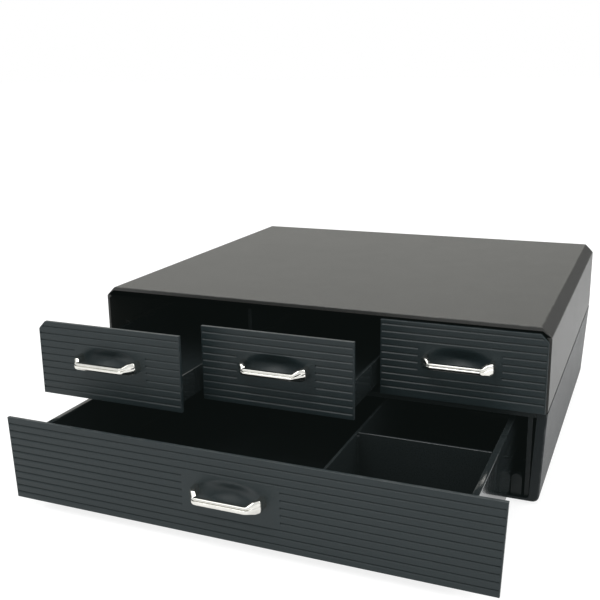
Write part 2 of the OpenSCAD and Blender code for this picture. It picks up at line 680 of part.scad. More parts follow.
top_cover();
upper_back_panel();
upper_deck();
left_partition();
right_partition();
lower_base();
left_guide_wall();
right_guide_wall();
left_stop_post();
right_stop_post();
rubber_feet();
case_screws();
back_screws();
left_front();
left_tray();
left_pull();
left_pull_screws();
left_tray_screws();
middle_front();
middle_tray();
middle_pull();
middle_pull_screws();
middle_tray_screws();
right_front();
right_tray();
right_pull();
right_pull_screws();
right_tray_screws();
lower_front();
lower_tray();
lower_pull();
lower_pull_screws();
lower_tray_screws();
long_divider();
cross_divider();
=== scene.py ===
import json
import math

import bmesh
import bpy
import numpy as np
from mathutils import Matrix, Vector


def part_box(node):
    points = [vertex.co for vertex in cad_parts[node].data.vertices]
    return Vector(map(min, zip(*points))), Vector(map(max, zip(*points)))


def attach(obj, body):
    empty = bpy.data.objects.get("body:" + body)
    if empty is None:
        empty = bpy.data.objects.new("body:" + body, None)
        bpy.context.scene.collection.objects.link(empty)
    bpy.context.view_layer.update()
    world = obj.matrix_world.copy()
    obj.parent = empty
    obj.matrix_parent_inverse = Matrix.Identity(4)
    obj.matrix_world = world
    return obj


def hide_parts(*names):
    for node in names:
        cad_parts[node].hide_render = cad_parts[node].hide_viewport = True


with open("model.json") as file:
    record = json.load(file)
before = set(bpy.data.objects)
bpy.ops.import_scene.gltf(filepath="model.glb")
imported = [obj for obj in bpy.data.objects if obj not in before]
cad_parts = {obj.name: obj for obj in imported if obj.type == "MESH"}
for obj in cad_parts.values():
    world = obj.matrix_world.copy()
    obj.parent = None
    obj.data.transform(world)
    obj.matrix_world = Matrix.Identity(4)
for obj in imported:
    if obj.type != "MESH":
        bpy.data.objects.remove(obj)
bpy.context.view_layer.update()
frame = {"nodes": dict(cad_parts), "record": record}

mm = 0.001
weld = 0.00002                      # corners nearer than this are one
drawers = ("left", "middle", "right", "lower")


# node tree helper, for light, finishes and geometry
class Tree:
    def __init__(self, tree):
        self.tree = tree

    def node(self, kind, values=None, **settings):
        made = self.tree.nodes.new(kind)
        for key, value in settings.items():
            setattr(made, key, value)
        for key, value in (values or {}).items():
            if isinstance(value, bpy.types.NodeSocket):
                self.tree.links.new(value, made.inputs[key])
            else:
                made.inputs[key].default_value = value
        return made

    def link(self, out, into):
        self.tree.links.new(out, into)

    def math(self, operation, *values):
        return self.node("ShaderNodeMath", dict(enumerate(values)), operation=operation).outputs[0]

    def fade(self, value, low, high, start=0.0, end=1.0, kind="SMOOTHSTEP"):
        return self.node("ShaderNodeMapRange", {"Value": value, "From Min": low, "From Max": high,
                                                "To Min": start, "To Max": end},
                         interpolation_type=kind).outputs[0]

    def ramp(self, factor, stops):
        made = self.node("ShaderNodeValToRGB", {"Fac": factor})
        elements = made.color_ramp.elements
        while len(elements) < len(stops):
            elements.new(0.5)
        for element, (position, colour) in zip(elements, stops):
            element.position = position
            element.color = (*colour, 1)
        return made.outputs[0]

    def noise(self, vector, scale, detail=3.0, rough=0.5):
        return self.node("ShaderNodeTexNoise", {"Vector": vector, "Scale": scale, "Detail": detail,
                                                "Roughness": rough}).outputs["Fac"]

    def blend(self, factor, a, b):
        made = self.node("ShaderNodeMix", data_type="RGBA")
        self.link(factor, made.inputs[0])
        for socket, value in ((made.inputs[6], a), (made.inputs[7], b)):
            if isinstance(value, bpy.types.NodeSocket):
                self.link(value, socket)
            else:
                socket.default_value = (*value, 1)
        return made.outputs[2]


# view, light and floor
viewSetup = {
    "place": (0.25636, -0.70598, 0.31788), "turn": 22.96, "tilt": 14.536, "roll": -0.795,
    "lensPixels": 870.9, "pictureWidth": 600, "filmWidth": 36.0,
}
lightSetup = {
    "strength": 1.0, "pale": (0.95, 0.95, 0.9), "cool": (1.02, 1.04, 1.04), "dim": (0.03, 0.03, 0.035),
    "dimFrom": (-7, 20), "dimTo": (40, 62),           # degrees to the right of straight back
    "top": {"place": (-0.1, 0.25, 1.6), "aim": (0, 0, 0.1), "size": (1.5, 1.2), "power": 15},
    "left": {"place": (-0.4, -0.95, 1.65), "aim": (0, -0.1, 0.08), "size": (0.85, 1.1), "power": 13.5},
    "right": {"place": (1.6, 0.3, 0.9), "aim": (0.3, 0.1, 0), "size": (1.0, 0.8), "power": 11},
    "paleTurn": 20.0, "paleFade": (35, 70), "haze": (0.0032, 0.0043, 0.004),
}
floorSetup = {
    "half": 40.0, "tone": 0.96, "rough": 0.9, "lit": 1.1,
    "glow": 0.75, "mirrored": 0.5,                    # how much of the lit white is seen and mirrored
}


def aimCamera(setup):
    a, e, r = (math.radians(setup[k]) for k in ("turn", "tilt", "roll"))
    back = Vector((math.sin(a) * math.cos(e), -math.cos(a) * math.cos(e), math.sin(e)))
    right = Vector((math.cos(a), math.sin(a), 0))
    up = back.cross(right)
    across = right * math.cos(r) + up * math.sin(r)
    upwards = up * math.cos(r) - right * math.sin(r)
    data = bpy.data.cameras.new("viewCamera")
    data.sensor_width = setup["filmWidth"]
    data.lens = setup["lensPixels"] / setup["pictureWidth"] * setup["filmWidth"]
    data.clip_start = 0.01
    camera = bpy.data.objects.new("viewCamera", data)
    turned = Matrix((across, upwards, back)).transposed().to_4x4()
    camera.matrix_world = Matrix.Translation(setup["place"]) @ turned
    bpy.context.collection.objects.link(camera)
    bpy.context.scene.camera = camera


def addSoftBox(name, setup):
    data = bpy.data.lights.new(name, "AREA")
    data.shape = "RECTANGLE"
    data.size, data.size_y = setup["size"]
    data.energy = setup["power"]
    lamp = bpy.data.objects.new(name, data)
    lamp.location = setup["place"]
    towards = Vector(setup["aim"]) - Vector(setup["place"])
    lamp.rotation_euler = towards.to_track_quat("-Z", "Y").to_euler()
    bpy.context.collection.objects.link(lamp)


def layPaleFloor(setup):
    half, tone = setup["half"], setup["tone"]
    mesh = bpy.data.meshes.new("paleFloor")
    corners = [(-half, -half, 0), (half, -half, 0), (half, half, 0), (-half, half, 0)]
    mesh.from_pydata(corners, [], [(0, 1, 2, 3)])
    floor = bpy.data.objects.new("paleFloor", mesh)
    bpy.context.collection.objects.link(floor)
    paint = bpy.data.materials.new("paleFloor")
    paint.use_nodes = True
    t = Tree(paint.node_tree)
    shader = paint.node_tree.nodes["Principled BSDF"]
    shader.inputs["Base Color"].default_value = (tone, tone, tone, 1)
    shader.inputs["Roughness"].default_value = setup["rough"]
    path = t.node("ShaderNodeLightPath").outputs
    seen = t.math("MAXIMUM", t.math("MULTIPLY", path["Is Camera Ray"], setup["glow"]),
                  t.math("MULTIPLY", path["Is Glossy Ray"], setup["mirrored"]))
    lit = t.node("ShaderNodeEmission", {"Strength": setup["lit"]}).outputs[0]
    both = t.node("ShaderNodeMixShader", {0: seen, 1: shader.outputs[0], 2: lit}).outputs[0]
    t.link(both, paint.node_tree.nodes["Material Output"].inputs["Surface"])
    mesh.materials.append(paint)


def lightRoom(setup):
    # a pale wall behind the cabinet, a dim corner to the right of it and cooler light from the rest
    world = bpy.data.worlds.new("paleRoom")
    world.use_nodes = True
    t = Tree(world.node_tree)
    facing = t.node("ShaderNodeTexCoord").outputs["Generated"]
    towards = t.node("ShaderNodeSeparateXYZ", {0: facing}).outputs
    turn = t.math("MULTIPLY", t.math("ARCTAN2", towards["X"], towards["Y"]), 180 / math.pi)
    away = t.math("ABSOLUTE", t.math("ADD", turn, setup["paleTurn"]))
    pale = t.blend(t.fade(away, *setup["paleFade"]), setup["pale"], setup["cool"])
    inDim = t.math("MULTIPLY", t.fade(turn, *setup["dimFrom"]), t.fade(turn, *setup["dimTo"], 1.0, 0.0))
    room = t.blend(inDim, pale, setup["dim"])
    seen = t.node("ShaderNodeLightPath").outputs["Is Camera Ray"]
    sky = world.node_tree.nodes["Background"]
    t.link(t.blend(seen, room, (1, 1, 1)), sky.inputs["Color"])
    sky.inputs["Strength"].default_value = setup["strength"]
    bpy.context.scene.world = world


aimCamera(viewSetup)
layPaleFloor(floorSetup)
lightRoom(lightSetup)
for side in ("top", "left", "right"):
    addSoftBox(side + "SoftBox", lightSetup[side])
display = bpy.context.scene.view_settings
display.view_transform = "Standard"
display.use_curve_mapping = True
display.curve_mapping.black_level = [-h for h in lightSetup["haze"]]     # stray light in the lens
display.curve_mapping.update()
print("view, light and floor are set")


# finishes
def newPaint(name):
    paint = bpy.data.materials.new(name)
    paint.use_nodes = True
    return paint, Tree(paint.node_tree), paint.node_tree.nodes["Principled BSDF"]


plasticLook = {
    "cloudScale": 9.0, "fleckScale": 1400.0, "rubScale": 130.0, "scratchScale": 620.0,
    "scratchStretch": (1.0, 0.16, 1.0), "scuff": 0.06, "patchScale": 38.0, "patchShare": 1.5,
    "fleckHeight": 0.6, "grainStrength": 0.5,
}
plasticSetup = {
    "cover_plastic": {
        "name": "coverPlastic", "dark": (0.011, 0.0105, 0.0095), "light": (0.019, 0.0185, 0.017),
        "worn": (0.055, 0.054, 0.05), "rough": (0.36, 0.46), "grainScale": 2600.0,
        "grainDepth": 0.00012, "cloudy": 0.12, "specular": 0.39},
    "base_plastic": {
        "name": "basePlastic", "dark": (0.002, 0.0035, 0.0045), "light": (0.004, 0.0065, 0.008),
        "worn": (0.04, 0.043, 0.045), "rough": (0.36, 0.48), "grainScale": 2600.0,
        "grainDepth": 0.00012, "cloudy": 0.12, "specular": 0.19},
    "frame_plastic": {
        "name": "framePlastic", "dark": (0.003, 0.0042, 0.0047), "light": (0.006, 0.0078, 0.0083),
        "worn": (0.035, 0.039, 0.041), "rough": (0.3, 0.45), "grainScale": 2800.0,
        "grainDepth": 0.00005, "cloudy": 0.2, "specular": 0.17},
    "front_plastic": {
        "name": "frontPlastic", "dark": (0.0038, 0.0083, 0.0098), "light": (0.0072, 0.0135, 0.0158),
        "worn": (0.024, 0.029, 0.031), "rough": (0.36, 0.48), "grainScale": 3000.0,
        "grainDepth": 0.00008, "cloudy": 0.2, "specular": 0.31},
    "tray_plastic": {
        "name": "trayPlastic", "dark": (0.006, 0.008, 0.0085), "light": (0.012, 0.0145, 0.0155),
        "worn": (0.03, 0.034, 0.034), "rough": (0.05, 0.1), "grainScale": 2800.0,
        "grainDepth": 0.000008, "cloudy": 0.2, "specular": 0.35},
}
chromeSetup = {
    "hazeScale": 160.0, "dull": (0.62, 0.61, 0.575), "bright": (0.71, 0.7, 0.66), "rough": (0.05, 0.14),
    "rippleScale": 420.0, "rippleDepth": 0.00001,
}
steelSetup = {
    "spangleScale": 900.0, "stainScale": 300.0, "dark": (0.33, 0.34, 0.36), "light": (0.56, 0.57, 0.58),
    "rough": (0.28, 0.48), "stainDepth": 0.00005,
}
rubberSetup = {
    "dustScale": 240.0, "clean": (0.012, 0.012, 0.013), "dusty": (0.05, 0.048, 0.045), "rough": (0.7, 0.92),
    "pebbleScale": 1800.0, "pebbleDepth": 0.00008, "specular": 0.3,
}


def mouldedPlastic(look, name, dark, light, worn, rough, grainScale, grainDepth, cloudy, specular):
    paint, t, shader = newPaint(name)
    spot = t.node("ShaderNodeTexCoord").outputs["Object"]
    cloud = t.noise(spot, look["cloudScale"], 5.0, 0.6)
    fleck = t.noise(spot, look["fleckScale"], 2.0)
    tone = t.math("ADD", t.math("MULTIPLY", cloud, cloudy), t.math("MULTIPLY", fleck, 1 - cloudy))
    colour = t.ramp(tone, [(0.34, dark), (0.66, light)])
    edge = t.node("ShaderNodeAttribute", attribute_name="edgeWear").outputs["Fac"]
    rub = t.fade(t.noise(spot, look["rubScale"], 4.0, 0.7), 0.35, 0.75)
    wear = t.math("MULTIPLY", edge, rub)
    scratch = t.node("ShaderNodeMapping", {"Vector": spot, "Scale": look["scratchStretch"]}).outputs[0]
    marks = t.fade(t.noise(scratch, look["scratchScale"], 2.0, 0.5), 0.7, 0.8, 0.0, look["scuff"])
    worked = t.math("MAXIMUM", wear, t.math("MULTIPLY", marks, t.fade(cloud, 0.4, 0.7)))
    t.link(t.blend(worked, colour, worn), shader.inputs["Base Color"])
    patches = t.noise(spot, look["patchScale"], 6.0, 0.65)
    share = cloudy * look["patchShare"]
    mottle = t.math("ADD", t.math("MULTIPLY", patches, share), t.math("MULTIPLY", fleck, 1 - share))
    t.link(t.fade(mottle, 0.3, 0.7, *rough), shader.inputs["Roughness"])
    pebble = t.node("ShaderNodeTexVoronoi", {"Vector": spot, "Scale": grainScale}).outputs["Distance"]
    height = t.math("ADD", pebble, t.math("MULTIPLY", fleck, look["fleckHeight"]))
    grain = t.node("ShaderNodeBump", {"Height": height, "Strength": look["grainStrength"],
                                      "Distance": grainDepth})
    t.link(grain.outputs[0], shader.inputs["Normal"])
    shader.inputs["Specular IOR Level"].default_value = specular
    return paint


def polishedChrome(name, s):
    paint, t, shader = newPaint(name)
    spot = t.node("ShaderNodeTexCoord").outputs["Object"]
    haze = t.noise(spot, s["hazeScale"], 5.0, 0.6)
    t.link(t.ramp(haze, [(0.3, s["dull"]), (0.7, s["bright"])]), shader.inputs["Base Color"])
    t.link(t.fade(haze, 0.35, 0.75, *s["rough"]), shader.inputs["Roughness"])
    ripple = t.noise(spot, s["rippleScale"], 2.0)
    bump = t.node("ShaderNodeBump", {"Height": ripple, "Strength": 0.15, "Distance": s["rippleDepth"]})
    t.link(bump.outputs[0], shader.inputs["Normal"])
    shader.inputs["Metallic"].default_value = 1.0
    return paint


def zincSteel(name, s):
    paint, t, shader = newPaint(name)
    spot = t.node("ShaderNodeTexCoord").outputs["Object"]
    cells = t.node("ShaderNodeTexVoronoi", {"Vector": spot, "Scale": s["spangleScale"]})
    stain = t.noise(spot, s["stainScale"], 4.0, 0.6)
    t.link(t.ramp(stain, [(0.3, s["dark"]), (0.75, s["light"])]), shader.inputs["Base Color"])
    t.link(t.fade(cells.outputs["Distance"], 0.0, 0.8, *s["rough"]), shader.inputs["Roughness"])
    bump = t.node("ShaderNodeBump", {"Height": stain, "Strength": 0.3, "Distance": s["stainDepth"]})
    t.link(bump.outputs[0], shader.inputs["Normal"])
    shader.inputs["Metallic"].default_value = 1.0
    return paint


def footRubber(name, s):
    paint, t, shader = newPaint(name)
    spot = t.node("ShaderNodeTexCoord").outputs["Object"]
    dust = t.noise(spot, s["dustScale"], 5.0, 0.65)
    t.link(t.ramp(dust, [(0.35, s["clean"]), (0.8, s["dusty"])]), shader.inputs["Base Color"])
    t.link(t.fade(dust, 0.3, 0.8, *s["rough"]), shader.inputs["Roughness"])
    pebble = t.noise(spot, s["pebbleScale"], 2.0)
    bump = t.node("ShaderNodeBump", {"Height": pebble, "Strength": 0.5, "Distance": s["pebbleDepth"]})
    t.link(bump.outputs[0], shader.inputs["Normal"])
    shader.inputs["Specular IOR Level"].default_value = s["specular"]
    return paint


paints = {slot: mouldedPlastic(plasticLook, **finish) for slot, finish in plasticSetup.items()}
paints["pull_chrome"] = polishedChrome("pullChrome", chromeSetup)
paints["screw_steel"] = zincSteel("screwSteel", steelSetup)
paints["foot_rubber"] = footRubber("footRubber", rubberSetup)
print("finishes are mixed:", ", ".join(paints))


# piece helpers
def bodyOf(node):
    return next(body for body, nodes in frame["record"]["behaviour"]["bodies"].items() if node in nodes)


def smoothMesh(mesh, angle=38):
    mesh.shade_smooth()
    mesh.set_sharp_from_angle(angle=math.radians(angle))


def placePiece(name, mesh, slot, nodes, evenNormals=True):
    mesh.materials.clear()
    mesh.materials.append(paints[slot])
    piece = bpy.data.objects.new(name, mesh)
    bpy.context.collection.objects.link(piece)
    if evenNormals:
        piece.modifiers.new("evenNormals", "WEIGHTED_NORMAL").keep_sharp = True
    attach(piece, bodyOf(nodes[0]))
    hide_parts(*nodes)


def meshFrom(name, bm):
    mesh = bpy.data.meshes.new(name)
    bm.to_mesh(mesh)
    bm.free()
    return mesh


def evaluated(mesh, addModifiers):
    holder = bpy.data.objects.new("holder", mesh)
    bpy.context.collection.objects.link(holder)
    addModifiers(holder)
    graph = bpy.context.evaluated_depsgraph_get()
    result = bpy.data.meshes.new_from_object(holder.evaluated_get(graph), depsgraph=graph)
    holder.modifiers.clear()
    bpy.data.objects.remove(holder)
    return result


# shells taken over from the construction, with softened edges
def mergedCopy(node):
    bm = bmesh.new()
    bm.from_mesh(frame["nodes"][node].data)
    bmesh.ops.remove_doubles(bm, verts=bm.verts, dist=weld)
    bmesh.ops.dissolve_limit(bm, angle_limit=math.radians(0.3), verts=bm.verts, edges=bm.edges)
    return bm


def softenEdges(bm, size, steps, pick, angle=28):
    wear = bm.loops.layers.float.get("edgeWear") or bm.loops.layers.float.new("edgeWear")
    chosen = [e for e in bm.edges if len(e.link_faces) == 2 and pick(e)
              and e.calc_face_angle(0) > math.radians(angle)]
    made = bmesh.ops.bevel(bm, geom=chosen, offset=size, offset_type="OFFSET", segments=steps, profile=0.5,
                           affect="EDGES", clamp_overlap=True, loop_slide=True, miter_outer="SHARP")
    for face in made["faces"]:
        for loop in face.loops:
            loop[wear] = 1.0


shellSetup = {
    "top_cover": ("cover_plastic", 0.45), "lower_base": ("base_plastic", 0.4),
    "upper_back_panel": ("frame_plastic", 0.3), "upper_deck": ("frame_plastic", 0.35),
    "left_partition": ("frame_plastic", 0.4), "right_partition": ("frame_plastic", 0.4),
    "left_guide_wall": ("frame_plastic", 0.35), "right_guide_wall": ("frame_plastic", 0.35),
    "left_stop_post": ("frame_plastic", 0.5), "right_stop_post": ("frame_plastic", 0.5),
    "long_divider": ("tray_plastic", 0.35), "cross_divider": ("tray_plastic", 0.35),
}
edgeSetup = {
    "coverLong": 0.9, "baseLong": 1.3, "longSteps": 3, "longFrom": 300.0,
    "seam": 1.1, "seamWall": 0.6, "sideBand": 9.0,
    "mouth": 1.6, "mouthBand": (22.0, 3.0), "mouthInside": 2.0, "mouthFrom": 4.0,
    "rimBand": 6.0, "rimLean": 0.045, "rimFoot": 1.2, "shortest": 0.6,
}


def softenCover(bm, lo, hi, s):
    for v in bm.verts:                                # an open seam above the base
        if v.co.z < lo.z + 0.05 * mm and abs(v.co.x) > hi.x - s["seamWall"] * mm:
            v.co.z += s["seam"] * mm

    def outside(v):
        atSide = v.co.x < lo.x + s["sideBand"] * mm or v.co.x > hi.x - s["sideBand"] * mm
        return atSide and (abs(v.co.x) > hi.x - 0.1 * mm or v.co.z > hi.z - 0.1 * mm)

    def inMouth(v):
        low, high = s["mouthBand"]
        return (abs(v.co.y - lo.y) < 1e-5 and hi.z - low * mm < v.co.z < hi.z - high * mm
                and abs(v.co.x) < hi.x - s["mouthInside"] * mm)

    softenEdges(bm, s["coverLong"] * mm, s["longSteps"],
                lambda e: e.calc_length() > s["longFrom"] * mm and all(outside(v) for v in e.verts), 20)
    softenEdges(bm, s["mouth"] * mm, 2,
                lambda e: e.calc_length() > s["mouthFrom"] * mm and all(inMouth(v) for v in e.verts), 60)


def softenBase(bm, lo, hi, s):
    def atRim(v):
        side = hi.x - s["rimBand"] * mm - (hi.z - v.co.z) * s["rimLean"]
        return abs(v.co.y - lo.y) < 1e-5 and (abs(v.co.x) > side or v.co.z < lo.z + s["rimFoot"] * mm)

    softenEdges(bm, s["baseLong"] * mm, s["longSteps"],
                lambda e: all(atRim(v) for v in e.verts)
                and any(abs(f.normal.y) < 0.9 for f in e.link_faces))


def dressShell(node, slot, size, s):
    bm = mergedCopy(node)
    lo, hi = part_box(node)
    if node == "top_cover":
        softenCover(bm, lo, hi, s)
    if node == "lower_base":
        softenBase(bm, lo, hi, s)
    softenEdges(bm, size * mm, 2, lambda e: e.calc_length() > s["shortest"] * mm)
    mesh = meshFrom(node + "_shell", bm)
    smoothMesh(mesh)
    placePiece(node + "_shell", mesh, slot, [node])


for node, (slot, size) in shellSetup.items():
    dressShell(node, slot, size, edgeSetup)
print("shells are dressed:", len(shellSetup))


# trays, as moulded shells with rounded rims and a fillet round the floor
traySetup = {
    "corner": 3.0, "wall": 2.2, "floor": 2.0, "rim": 0.5, "foot": 1.2, "fillet": 1.6,
    "lipWidth": 4.6, "lipThickness": 2.0, "lipSoft": 0.35, "cornerSteps": 8,
    "windowHalf": 29.1, "windowLow": 7.6, "windowTop": 16.4, "cutOver": 2.0, "cutAbove": 3.0,
    "lug": (20, 3.7, 4.9), "lugBehind": 236.6, "lugOver": 0.3, "lugRoot": 0.8,
    "ear": (10, 4, 9, 2), "earBehind": 234.1, "earRoot": 1.2,
}


def roundedRing(x0, x1, y0, y1, radius, steps):
    ring = []
    for cx, cy, start in ((x1 - radius, y1 - radius, 0), (x0 + radius, y1 - radius, 90),
                          (x0 + radius, y0 + radius, 180), (x1 - radius, y0 + radius, 270)):
        for k in range(steps + 1):
            a = math.radians(start + 90 * k / steps)
            ring.append((cx + radius * math.cos(a), cy + radius * math.sin(a)))
    return ring


def trayShell(lo, hi, s, lip):
    # profile points are (inset from the outside, height), from the underside round the rim to the floor
    bottom, top = lo.z / mm, hi.z / mm
    rim, foot, fillet, wall = s["rim"], s["foot"], s["fillet"], s["wall"]
    level = bottom + s["floor"]
    bend = 0.3                                        # where the middle of a rounding lies
    profile = [(foot, bottom), (foot * bend, bottom + foot * bend), (0, bottom + foot), (0, top - rim),
               (rim * bend, top - rim * bend), (rim, top)]
    reach = s["lipWidth"] if lip else wall
    profile += [(reach - rim, top), (reach - rim * bend, top - rim * bend), (reach, top - rim)]
    if lip:
        under, soft = top - s["lipThickness"], s["lipSoft"]
        profile += [(reach, under + soft), (reach - soft, under), (wall, under)]
    near, far = fillet * 0.13, fillet * 0.5
    profile += [(wall, level + fillet), (wall + near, level + far), (wall + far, level + near),
                (wall + fillet, level)]
    bm = bmesh.new()
    wear = bm.loops.layers.float.new("edgeWear")
    rings = []
    for inset, height in profile:
        d = inset * mm
        ring = roundedRing(lo.x + d, hi.x - d, lo.y + d, hi.y - d, max(0.5, s["corner"] - inset) * mm,
                           s["cornerSteps"])
        rings.append([bm.verts.new((x, y, height * mm)) for x, y in ring])
    count = len(rings[0])
    for k in range(len(rings) - 1):
        for j in range(count):
            n = (j + 1) % count
            face = bm.faces.new((rings[k][j], rings[k][n], rings[k + 1][n], rings[k + 1][j]))
            if k in (3, 4, 6, 7):                     # the roundings of the rim
                for loop in face.loops:
                    loop[wear] = 1.0
    bm.faces.new(list(reversed(rings[0])))
    bm.faces.new(rings[-1])
    return bm


def addBlock(bm, lo, hi, soft=0.3):
    made = bmesh.ops.create_cube(bm, size=1)
    lo, hi = Vector(lo), Vector(hi)
    soft = min(soft, 0.2 * min(hi - lo))
    for v in made["verts"]:
        v.co = Vector((lo[i] + (v.co[i] + 0.5) * (hi[i] - lo[i])) * mm for i in range(3))
    edges = list({e for v in made["verts"] for e in v.link_edges})
    bmesh.ops.bevel(bm, geom=edges, offset=soft * mm, segments=2, profile=0.5, affect="EDGES")


def joinSolids(mesh, adds, cuts):
    parts = []
    for operation, blocks in (("UNION", adds), ("DIFFERENCE", cuts)):
        for lo, hi in blocks:
            bm = bmesh.new()
            addBlock(bm, lo, hi)
            block = bpy.data.objects.new("block", meshFrom("block", bm))
            bpy.context.collection.objects.link(block)
            parts.append((operation, block))

    def add(holder):
        for operation, block in parts:
            joint = holder.modifiers.new("join", "BOOLEAN")
            joint.operation, joint.solver, joint.object = operation, "EXACT", block
    result = evaluated(mesh, add)
    for _, block in parts:
        bpy.data.objects.remove(block)
    return result


def buildTray(drawer, s):
    node = drawer + "_tray"
    lo, hi = (corner.copy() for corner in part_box(node))
    front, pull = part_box(drawer + "_front"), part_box(drawer + "_pull")
    midX, midZ = (pull[0].x + pull[1].x) / 2 / mm, (front[0].z + front[1].z) / 2 / mm
    y0 = lo.y / mm
    adds = []
    if drawer == "lower":                             # ears stand out from the sides
        reach, length, height, rise = s["ear"]
        lo.x += reach * mm
        hi.x -= reach * mm
        low = lo.z / mm + rise
        for side, edge in ((-1, lo.x / mm), (1, hi.x / mm)):
            inner, outer = edge - side * s["earRoot"], edge + side * reach
            adds.append(((min(inner, outer), y0 + s["earBehind"], low),
                         (max(inner, outer), y0 + s["earBehind"] + length, low + height)))
        cutTop = midZ + s["windowTop"]
    else:                                             # a lug stands out below
        width, length, height = s["lug"]
        lo.z += height * mm - s["lugOver"] * mm
        lugX = (lo.x + hi.x) / 2 / mm
        adds.append(((lugX - width / 2, y0 + s["lugBehind"], lo.z / mm - height + s["lugOver"]),
                     (lugX + width / 2, y0 + s["lugBehind"] + length, lo.z / mm + s["lugRoot"])))
        cutTop = hi.z / mm + s["cutAbove"]
    cuts = [((midX - s["windowHalf"], y0 - s["cutOver"], midZ - s["windowLow"]),
             (midX + s["windowHalf"], y0 + s["wall"] + s["cutOver"], cutTop))]
    mesh = meshFrom(node, trayShell(lo, hi, s, drawer == "lower"))
    mesh = joinSolids(mesh, adds, cuts)
    smoothMesh(mesh, 32)
    placePiece(node + "_shell", mesh, "tray_plastic", [node])


for drawer in drawers:
    buildTray(drawer, traySetup)
print("trays are moulded")


# fronts: plates with a finger dish, grooved by a geometry tree
frontSetup = {
    "thickness": 3.0, "edge": 0.3, "backEdge": 0.4, "bands": {"upper": 11, "lower": 12},
    "firstGroove": {"left": 5.3, "middle": 4.7, "right": 7.3, "lower": 5.0},
    "pitch": {"upper": 5.59, "lower": 5.48},
    "chamferFrom": -1.4, "wallFrom": -0.55, "floorFrom": -0.4, "floorTo": 0.4, "wallTo": 0.5,
    "chamferDepth": 0.6, "grooveDepth": {"left": 1.0, "middle": 1.12, "right": 1.12, "lower": 0.95},
    "topTrim": {"left": 1.4, "middle": 1.7, "right": 0.3, "lower": 0.4},
    "margin": 1.0, "patchWidth": {"upper": 64.0, "lower": 75.0}, "patchRows": {"upper": 2.1, "lower": 2.6},
    "dishDepth": 5.2, "dishShell": 1.4, "dishHalf": 25.0, "dishLow": 6.2, "dishPower": 2.3,
    "dishSlope": 1.0, "dishRows": 2.5, "dishBelow": 0.6, "dishSpan": 26.0,
    "step": 1.15, "wideStep": 7.0, "dishStep": 1.1, "squeeze": 12.0, "turnMargin": 0.12,
}


def faceOutline(node):
    lo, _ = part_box(node)
    points = sorted({(round(v.co.x / mm, 4), round(v.co.z / mm, 4))
                     for v in frame["nodes"][node].data.vertices if v.co.y - lo.y < 1e-5})

    def half(ordered):
        chain = []
        for p in ordered:
            while len(chain) > 1 and ((chain[-1][0] - chain[-2][0]) * (p[1] - chain[-2][1])
                                      - (chain[-1][1] - chain[-2][1]) * (p[0] - chain[-2][0])) <= 1e-3:
                chain.pop()
            chain.append(p)
        return chain[:-1]
    return np.array(half(points) + half(points[::-1]))


def edgeDistance(outline, x, z):
    best = np.full(x.shape, 1e9)
    for (ax, az), (bx, bz) in zip(outline, np.roll(outline, -1, axis=0)):
        length = math.hypot(bx - ax, bz - az)
        best = np.minimum(best, ((bx - ax) * (z - az) - (bz - az) * (x - ax)) / length)
    return np.maximum(best, 0)


def widthAt(outline, z):
    found = []
    for (ax, az), (bx, bz) in zip(outline, np.roll(outline, -1, axis=0)):
        if az != bz and min(az, bz) - 1e-6 <= z <= max(az, bz) + 1e-6:
            found.append(ax + (bx - ax) * (z - az) / (bz - az))
    return min(found), max(found)


def ticks(marks, step):
    marks = sorted(set(np.round(marks, 4)))
    filled = [marks[0]]
    for a, b in zip(marks, marks[1:]):
        width = step(a, b) if callable(step) else step
        count = max(1, math.ceil((b - a) / width - 1e-6))
        filled += [a + (b - a) * k / count for k in range(1, count + 1)]
    return np.array(filled)


def roundOff(distance, radius):
    inner = np.clip(radius - distance, 0, radius)
    return radius - np.sqrt(np.maximum(radius ** 2 - inner ** 2, 0))


def dishDepth(x, z, s, rise, grow):
    # x and z are measured from the middle of the smooth patch
    middle, tall = (rise - s["dishLow"]) / 2, (rise + s["dishLow"]) / 2 + grow
    wide = s["dishHalf"] + grow
    reach = (np.abs(x / wide) ** s["dishPower"] + np.abs((z - middle) / tall) ** s["dishPower"])
    reach = reach ** (1 / s["dishPower"])
    t = np.clip((1 - reach) / s["dishSlope"], 0, 1)
    return s["dishDepth"] * t * t * (3 - 2 * t)


